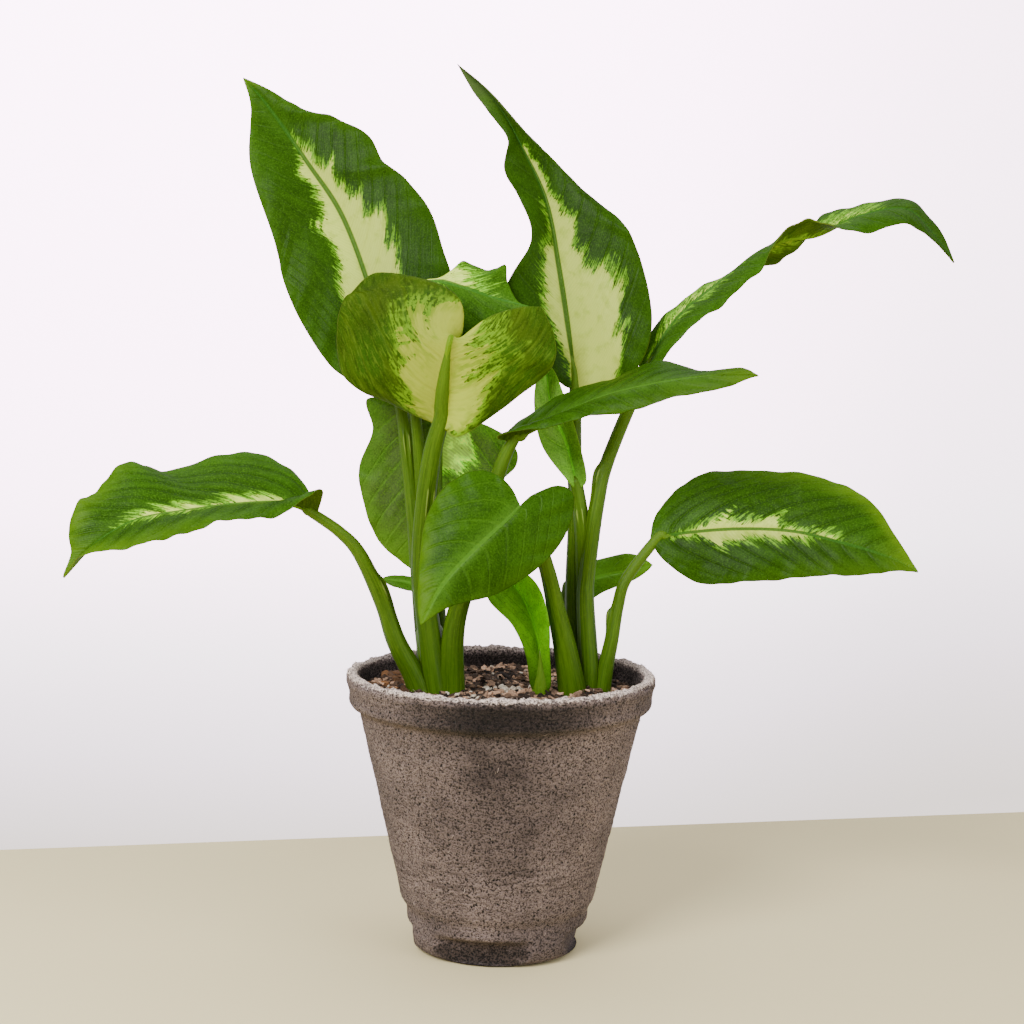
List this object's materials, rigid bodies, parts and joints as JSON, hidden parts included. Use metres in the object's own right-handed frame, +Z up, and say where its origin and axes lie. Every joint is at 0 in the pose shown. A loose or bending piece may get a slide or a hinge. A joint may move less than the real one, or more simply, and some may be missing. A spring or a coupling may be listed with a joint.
{
  "type": "potted dieffenbachia",
  "caption": "Young dieffenbachia with pale-centred, pointed leaves on sheathed stalks, growing in a tapered moulded-fibre nursery pot.",
  "frame": {"origin": "middle of the pot's flat underside", "axes": "+Z up along the pot's axis, -Y towards the front of the plant, +X to its right"},
  "size_m": [0.3072, 0.11, 0.3149],
  "materials": {
    "pot_fibre": "rough moulded paper fibre, taupe with darker flecks",
    "potting_mix": "loose damp bark and peat with white perlite",
    "stalk": "smooth green leaf stalk, satin",
    "variegated_leaf": "satin dark green with a feathered cream middle",
    "green_leaf": "satin plain green with paler veins",
    "young_leaf": "soft pale green"
  },
  "bodies": {
    "root": {"pot": "pot_fibre", "soil": "potting_mix", "stem_left": "stalk", "stem_middle": "stalk", "stem_right": "stalk", "leaf_low_left": "variegated_leaf", "leaf_tall_left": "variegated_leaf", "leaf_folded": "variegated_leaf", "leaf_behind": "variegated_leaf", "leaf_hanging": "variegated_leaf", "leaf_tall_middle": "variegated_leaf", "leaf_long_right": "variegated_leaf", "leaf_right": "variegated_leaf", "leaf_heart": "green_leaf", "leaf_mid_right": "green_leaf", "leaf_small_left": "green_leaf", "leaf_small_right": "green_leaf", "leaf_young": "young_leaf", "leaf_rolled": "young_leaf"}
  },
  "joints": []
}
